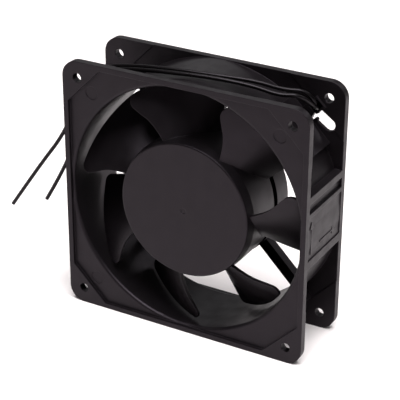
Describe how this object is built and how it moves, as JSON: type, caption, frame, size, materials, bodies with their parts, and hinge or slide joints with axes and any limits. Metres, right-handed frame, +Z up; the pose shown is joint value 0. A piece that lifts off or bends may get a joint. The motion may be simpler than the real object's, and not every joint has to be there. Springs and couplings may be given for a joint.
{
  "type": "axial case fan",
  "caption": "Square axial cooling fan with a deep flanged frame, a bladed hub on a central motor, four rear struts and two loose lead wires.",
  "frame": {"origin": "centre of the square frame, on the spin axis, halfway between the front and back mounting faces", "axes": "+Z up, +Y along the air flow from the hub side to the strut side, +X to the right as the hub side is seen"},
  "size_m": [0.1584, 0.038, 0.1227],
  "materials": {
    "bearing_steel": "ground",
    "board_laminate": "phenolic sheet",
    "bobbin_nylon": "moulded",
    "cage_aluminium": "die cast",
    "deep_drawn_steel": "zinc plated",
    "die_cast_aluminium": "die cast",
    "frame_black_plastic": "satin, fine moulded texture",
    "impeller_black_plastic": "satin",
    "label_foil": "blank satin film",
    "lamination_steel": "stacked sheet edges",
    "pin_tin": "tinned",
    "shading_copper": "bare copper",
    "shaft_steel": "ground",
    "sintered_brass": "turned",
    "spring_steel": "blued",
    "winding_copper": "enamelled wire",
    "wire_black": "glossy insulation"
  },
  "bodies": {
    "frame": {"housing": "frame_black_plastic", "bearing_tube": "die_cast_aluminium", "bobbin_1": "bobbin_nylon", "bobbin_2": "bobbin_nylon", "bobbin_3": "bobbin_nylon", "bobbin_4": "bobbin_nylon", "coil_1": "winding_copper", "coil_2": "winding_copper", "coil_3": "winding_copper", "coil_4": "winding_copper", "front_bearing_outer_ring": "bearing_steel", "lead_a": "wire_black", "lead_a_inner_run": "wire_black", "lead_b": "wire_black", "lead_b_inner_run": "wire_black", "preload_spring": "spring_steel", "rear_bearing_outer_ring": "bearing_steel", "rear_label": "label_foil", "shading_ring_1": "shading_copper", "shading_ring_2": "shading_copper", "shading_ring_3": "shading_copper", "shading_ring_4": "shading_copper", "stator_laminations": "lamination_steel", "terminal_board": "board_laminate", "terminal_pins": "pin_tin"},
    "rotor": {"impeller": "impeller_black_plastic", "rotor_cup": "deep_drawn_steel", "rotor_laminations": "lamination_steel", "squirrel_cage": "cage_aluminium", "shaft": "shaft_steel", "rotor_bush": "sintered_brass", "front_bearing_inner_ring": "bearing_steel", "rear_bearing_inner_ring": "bearing_steel", "retaining_clip": "spring_steel", "rear_shim": "spring_steel", "front_spacer": "spring_steel"},
    "front_ball_cage": {"front_bearing_cage": "sintered_brass", "front_bearing_balls": "bearing_steel"},
    "rear_ball_cage": {"rear_bearing_cage": "sintered_brass", "rear_bearing_balls": "bearing_steel"}
  },
  "joints": [
    {"name": "rotor_spin", "type": "hinge", "parent": "frame", "child": "rotor", "pos_m": [0, 0, 0], "axis": [0, -1, 0], "continuous": true},
    {"name": "front_cage_spin", "type": "hinge", "parent": "frame", "child": "front_ball_cage", "pos_m": [0, -0.008, 0], "axis": [0, -1, 0], "continuous": true},
    {"name": "rear_cage_spin", "type": "hinge", "parent": "frame", "child": "rear_ball_cage", "pos_m": [0, 0.014, 0], "axis": [0, -1, 0], "continuous": true}
  ],
  "couplings": [
    {"joint": "front_cage_spin", "follows": "rotor_spin", "ratio": 0.3778},
    {"joint": "rear_cage_spin", "follows": "rotor_spin", "ratio": 0.3778}
  ]
}
